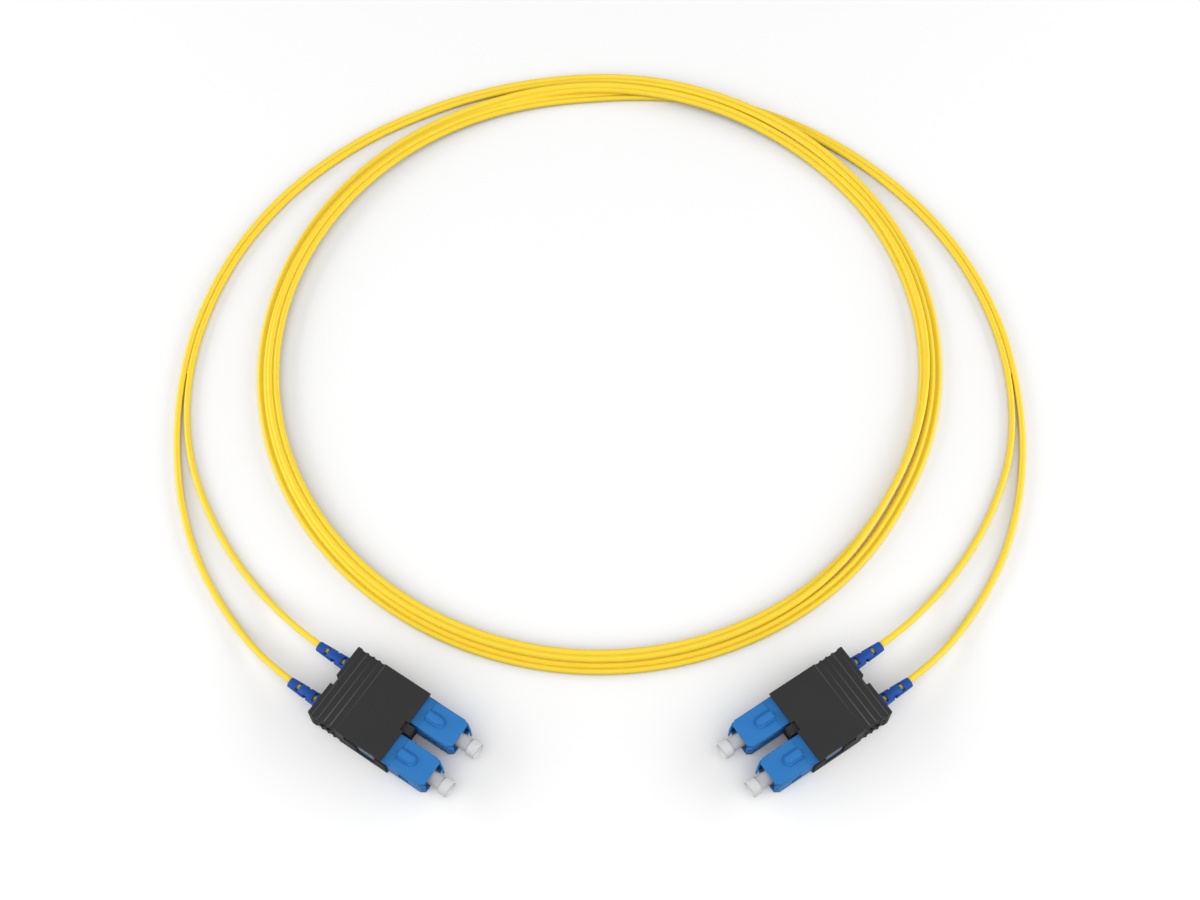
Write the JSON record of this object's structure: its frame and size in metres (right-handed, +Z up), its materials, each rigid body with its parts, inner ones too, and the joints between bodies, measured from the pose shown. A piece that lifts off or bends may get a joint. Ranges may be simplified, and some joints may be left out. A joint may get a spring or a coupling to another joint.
{
  "type": "fibre optic patch cable",
  "caption": "Duplex fibre optic patch cable: flat yellow cord laid in a loose coil, with blue push-pull plugs in a black clip, slotted boots and clear dust caps at both ends.",
  "frame": {"origin": "on the surface it lies on, at the centre of the box round the plug pairs, without the cord", "axes": "+X from the left plug pair to the right one, +Y towards the coil, +Z up from the surface"},
  "size_m": [0.2569, 0.2512, 0.0094],
  "materials": {
    "housing_blue": "satin moulded plastic",
    "boot_blue": "matt flexible moulding",
    "clip_black": "fine matt texture",
    "frame_grey": "matt moulded plastic",
    "ceramic_white": "polished ceramic",
    "holder_metal": "machined",
    "spring_steel": "drawn wire",
    "rear_metal": "machined",
    "crimp_metal": "drawn tube",
    "cap_clear": "translucent soft plastic",
    "fibre_buffer": "smooth tight buffer",
    "cord_yellow": "smooth satin jacket"
  },
  "bodies": {
    "cable": {"left_inner_plug_frame": "frame_grey", "left_inner_rear_body": "rear_metal", "left_inner_crimp_sleeve": "crimp_metal", "left_inner_boot": "boot_blue", "left_inner_spring": "spring_steel", "left_outer_plug_frame": "frame_grey", "left_outer_rear_body": "rear_metal", "left_outer_crimp_sleeve": "crimp_metal", "left_outer_boot": "boot_blue", "left_outer_spring": "spring_steel", "right_inner_plug_frame": "frame_grey", "right_inner_rear_body": "rear_metal", "right_inner_crimp_sleeve": "crimp_metal", "right_inner_boot": "boot_blue", "right_inner_spring": "spring_steel", "right_outer_plug_frame": "frame_grey", "right_outer_rear_body": "rear_metal", "right_outer_crimp_sleeve": "crimp_metal", "right_outer_boot": "boot_blue", "right_outer_spring": "spring_steel", "left_inner_strand": "cord_yellow", "left_outer_strand": "cord_yellow", "right_inner_strand": "cord_yellow", "right_outer_strand": "cord_yellow", "coil": "cord_yellow"},
    "left_grip": {"left_clip_upper": "clip_black", "left_clip_lower": "clip_black", "left_inner_outer_housing": "housing_blue", "left_outer_outer_housing": "housing_blue"},
    "left_inner_ferrule": {"left_inner_ferrule": "ceramic_white", "left_inner_ferrule_holder": "holder_metal", "left_inner_fibre": "fibre_buffer"},
    "left_inner_cap": {"left_inner_dust_cap": "cap_clear"},
    "left_outer_ferrule": {"left_outer_ferrule": "ceramic_white", "left_outer_ferrule_holder": "holder_metal", "left_outer_fibre": "fibre_buffer"},
    "left_outer_cap": {"left_outer_dust_cap": "cap_clear"},
    "right_grip": {"right_clip_upper": "clip_black", "right_clip_lower": "clip_black", "right_inner_outer_housing": "housing_blue", "right_outer_outer_housing": "housing_blue"},
    "right_inner_ferrule": {"right_inner_ferrule": "ceramic_white", "right_inner_ferrule_holder": "holder_metal", "right_inner_fibre": "fibre_buffer"},
    "right_inner_cap": {"right_inner_dust_cap": "cap_clear"},
    "right_outer_ferrule": {"right_outer_ferrule": "ceramic_white", "right_outer_ferrule_holder": "holder_metal", "right_outer_fibre": "fibre_buffer"},
    "right_outer_cap": {"right_outer_dust_cap": "cap_clear"}
  },
  "joints": [
    {"name": "left_grip_pull", "type": "slide", "parent": "cable", "child": "left_grip", "axis": [0.832, -0.5548, 0], "range_m": [-0.0015, 0]},
    {"name": "left_inner_ferrule_float", "type": "slide", "parent": "cable", "child": "left_inner_ferrule", "axis": [0.832, -0.5548, 0], "range_m": [-0.001, 0], "stiffness_N_per_m": 2500, "springref_m": 0.0035, "deforming": ["left_inner_spring"]},
    {"name": "left_inner_cap_pull", "type": "slide", "parent": "left_inner_ferrule", "child": "left_inner_cap", "axis": [0.832, -0.5548, 0], "range_m": [0, 0.02]},
    {"name": "left_outer_ferrule_float", "type": "slide", "parent": "cable", "child": "left_outer_ferrule", "axis": [0.832, -0.5548, 0], "range_m": [-0.001, 0], "stiffness_N_per_m": 2500, "springref_m": 0.0035, "deforming": ["left_outer_spring"]},
    {"name": "left_outer_cap_pull", "type": "slide", "parent": "left_outer_ferrule", "child": "left_outer_cap", "axis": [0.832, -0.5548, 0], "range_m": [0, 0.02]},
    {"name": "right_grip_pull", "type": "slide", "parent": "cable", "child": "right_grip", "axis": [-0.832, -0.5548, 0], "range_m": [-0.0015, 0]},
    {"name": "right_inner_ferrule_float", "type": "slide", "parent": "cable", "child": "right_inner_ferrule", "axis": [-0.832, -0.5548, 0], "range_m": [-0.001, 0], "stiffness_N_per_m": 2500, "springref_m": 0.0035, "deforming": ["right_inner_spring"]},
    {"name": "right_inner_cap_pull", "type": "slide", "parent": "right_inner_ferrule", "child": "right_inner_cap", "axis": [-0.832, -0.5548, 0], "range_m": [0, 0.02]},
    {"name": "right_outer_ferrule_float", "type": "slide", "parent": "cable", "child": "right_outer_ferrule", "axis": [-0.832, -0.5548, 0], "range_m": [-0.001, 0], "stiffness_N_per_m": 2500, "springref_m": 0.0035, "deforming": ["right_outer_spring"]},
    {"name": "right_outer_cap_pull", "type": "slide", "parent": "right_outer_ferrule", "child": "right_outer_cap", "axis": [-0.832, -0.5548, 0], "range_m": [0, 0.02]}
  ]
}
